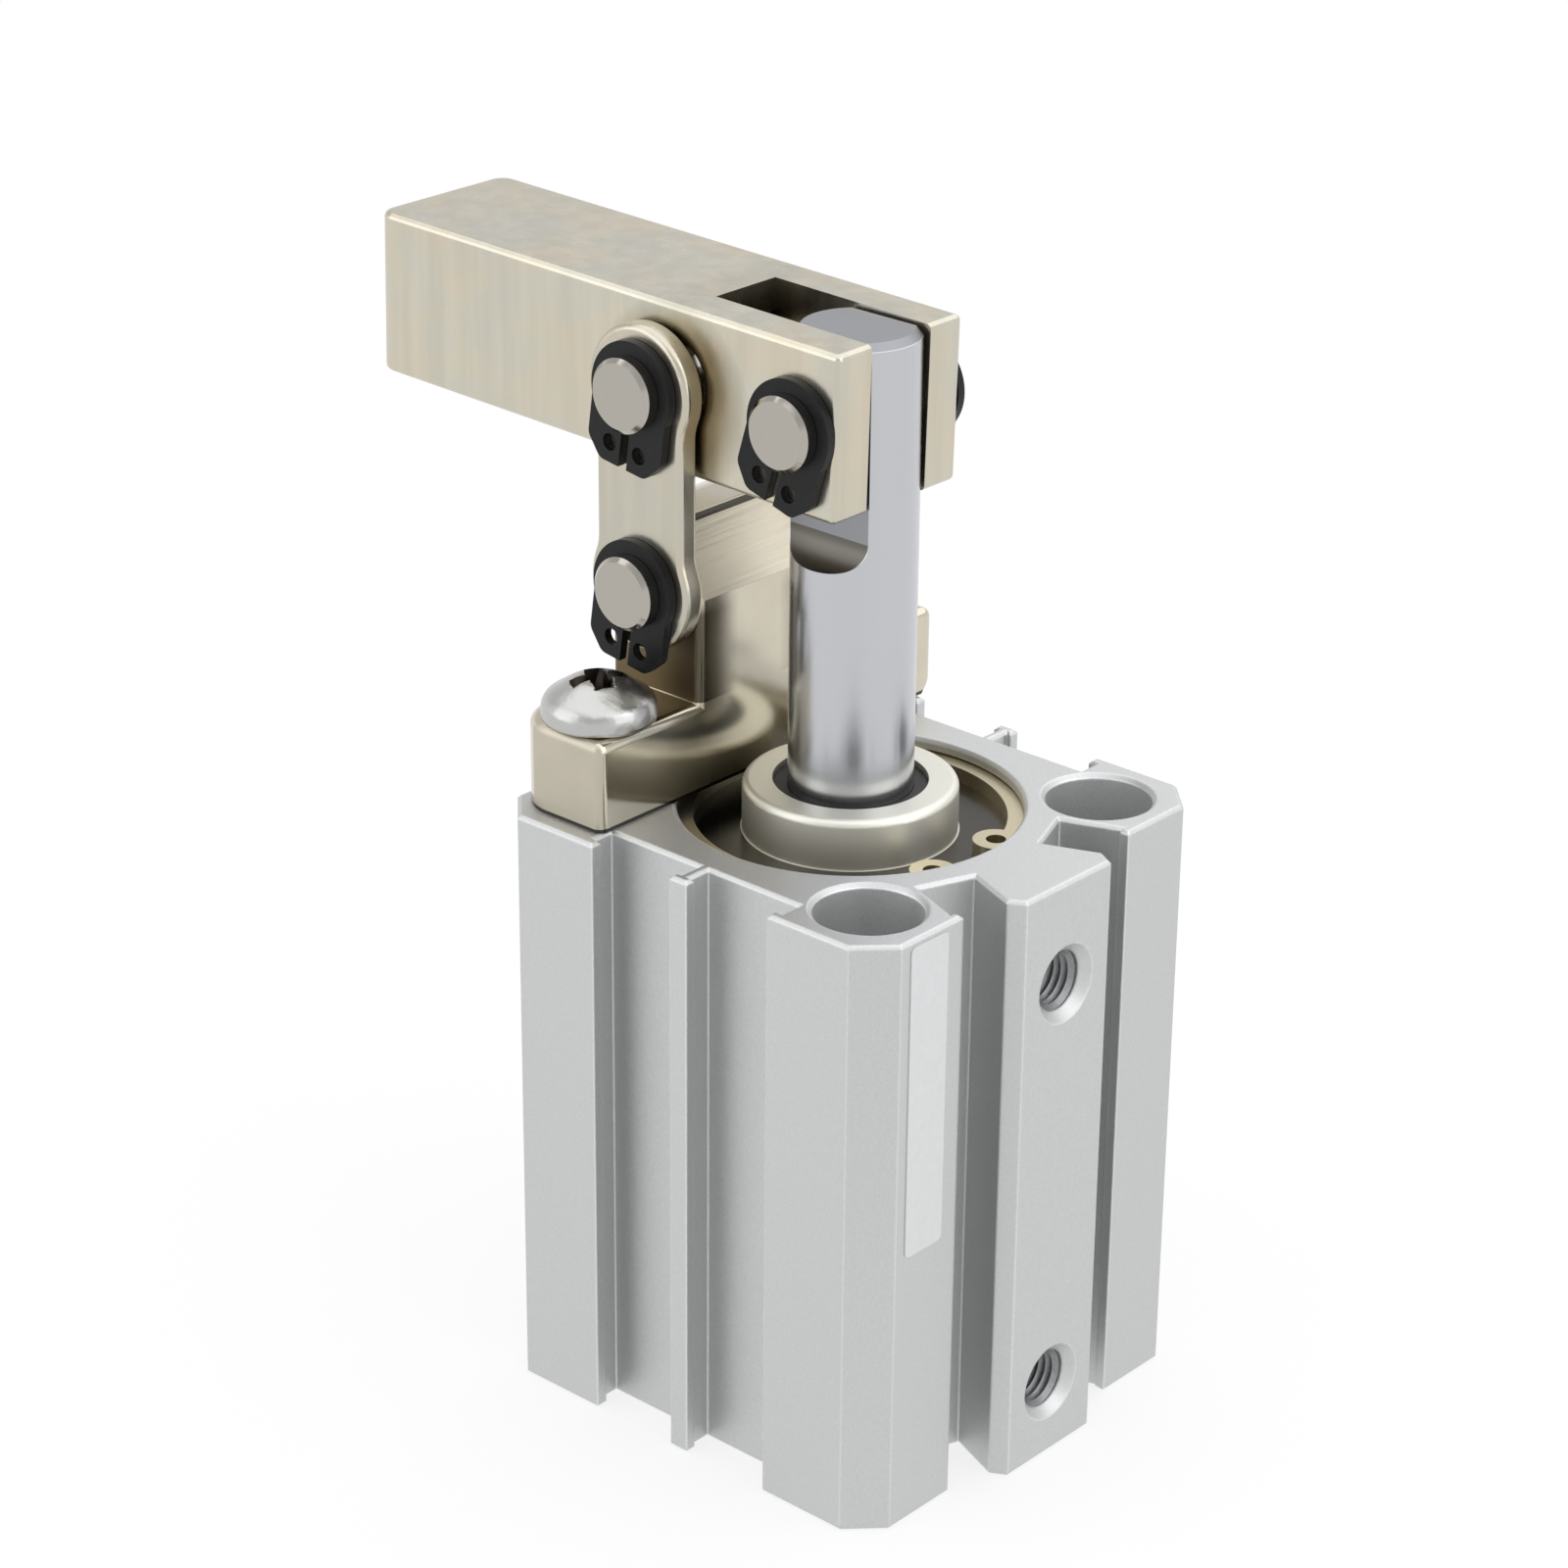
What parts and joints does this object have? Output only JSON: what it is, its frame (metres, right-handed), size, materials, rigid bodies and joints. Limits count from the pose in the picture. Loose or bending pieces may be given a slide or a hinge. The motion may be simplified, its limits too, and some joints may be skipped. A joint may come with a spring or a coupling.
{
  "type": "lever clamp cylinder",
  "caption": "Square pneumatic cylinder whose rod and link plates swing a clamp arm down beside it; base, top and port face carry its fixing holes and air ports.",
  "frame": {"origin": "centre of the square base face, on the rod axis", "axes": "+Z along the rod out of the cylinder, +X out of the port face, the clamp arm reaches to -X; clamped position"},
  "size_m": [0.0676, 0.0417, 0.0917],
  "materials": {
    "anodised_aluminium": "clear anodised, bead blasted",
    "nickel_plated_steel": "satin nickel plated",
    "hard_chrome_rod": "ground and hard chromed",
    "turned_steel": "fine turned",
    "ground_steel": "ground",
    "bright_screw_steel": "bright zinc plated",
    "black_spring_steel": "black phosphated",
    "yellow_spring_steel": "yellow passivated spring steel",
    "turned_aluminium": "turned",
    "bearing_bronze": "sintered",
    "black_rubber": "nitrile rubber",
    "wear_plastic": "filled plastic",
    "bonded_magnet": "plastic-bonded ferrite"
  },
  "bodies": {
    "cylinder": {"barrel": "anodised_aluminium", "rod_cover": "turned_steel", "rod_bush": "bearing_bronze", "rod_seal": "black_rubber", "rod_cover_o_ring": "black_rubber", "rod_cover_snap_ring": "yellow_spring_steel", "cap_cover": "turned_aluminium", "cap_o_ring": "black_rubber", "cap_snap_ring": "yellow_spring_steel", "pivot_bracket": "nickel_plated_steel", "bracket_screw_near": "bright_screw_steel", "bracket_screw_far": "bright_screw_steel"},
    "rod": {"piston_rod": "hard_chrome_rod", "piston": "turned_aluminium", "piston_seal": "black_rubber", "piston_wear_ring": "wear_plastic", "piston_magnet": "bonded_magnet", "piston_nut": "turned_steel", "bumper_front": "black_rubber", "bumper_rear": "black_rubber"},
    "arm": {"clamp_arm": "nickel_plated_steel", "rod_pin": "ground_steel", "rod_pin_circlip_near": "black_spring_steel", "rod_pin_circlip_far": "black_spring_steel"},
    "link": {"link_plate_near": "nickel_plated_steel", "link_plate_far": "nickel_plated_steel", "link_upper_pin": "ground_steel", "link_lower_pin": "ground_steel", "upper_pin_circlip_near": "black_spring_steel", "upper_pin_circlip_far": "black_spring_steel", "lower_pin_circlip_near": "black_spring_steel", "lower_pin_circlip_far": "black_spring_steel"}
  },
  "joints": [
    {"name": "rod_slide", "type": "slide", "parent": "cylinder", "child": "rod", "axis": [0, 0, 1], "range_m": [-0.01766, 0.00034]},
    {"name": "arm_pivot", "type": "hinge", "parent": "rod", "child": "arm", "pos_m": [0, 0, 0.08386], "axis": [0, 1, 0], "range_deg": [-1.48, 75.44]},
    {"name": "link_pivot", "type": "hinge", "parent": "cylinder", "child": "link", "pos_m": [-0.014, 0, 0.068], "axis": [0, 1, 0], "range_deg": [-0.71, 35.49]}
  ],
  "couplings": [
    {"joint": "arm_pivot", "follows": "rod_slide", "rad_per_m": -74.543},
    {"joint": "link_pivot", "follows": "rod_slide", "rad_per_m": -35.064}
  ]
}
